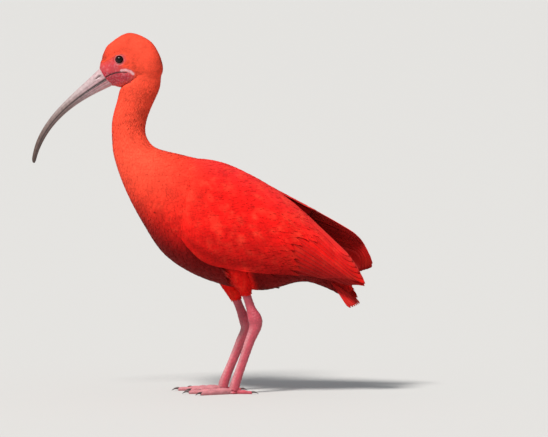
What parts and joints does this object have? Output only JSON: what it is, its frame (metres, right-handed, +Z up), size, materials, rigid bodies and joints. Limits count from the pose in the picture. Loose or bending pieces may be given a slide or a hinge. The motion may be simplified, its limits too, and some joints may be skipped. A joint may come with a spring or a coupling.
{
  "type": "scarlet ibis",
  "caption": "Standing scarlet ibis, life size: long down-curved bill, S-bent neck, folded wings in tiers of feathers, short tail, bare scaled legs and spread toes.",
  "frame": {"origin": "floor level under the middle of the bird's bounding box", "axes": "+Z up; the bird faces -X, its left side towards -Y"},
  "size_m": [0.4266, 0.1188, 0.45],
  "materials": {
    "plumage": "soft body feathers",
    "flight": "smooth wing and tail feathers",
    "bill": "satin horn",
    "leg_skin": "scaled skin",
    "claw": "satin horn",
    "eye": "wet"
  },
  "bodies": {
    "root": {"head": "plumage", "eye_left": "eye", "eye_right": "eye", "neck": "plumage", "torso": "plumage", "bill_upper": "bill", "bill_lower": "bill", "wing_left": "flight", "wing_right": "flight", "tail": "flight", "thigh_left": "plumage", "thigh_right": "plumage", "shank_left": "leg_skin", "shank_right": "leg_skin", "tarsus_left": "leg_skin", "tarsus_right": "leg_skin", "foot_left": "leg_skin", "foot_right": "leg_skin", "claw_left_inner": "claw", "claw_left_middle": "claw", "claw_left_outer": "claw", "claw_left_hind": "claw", "claw_right_inner": "claw", "claw_right_middle": "claw", "claw_right_outer": "claw", "claw_right_hind": "claw"}
  },
  "joints": []
}
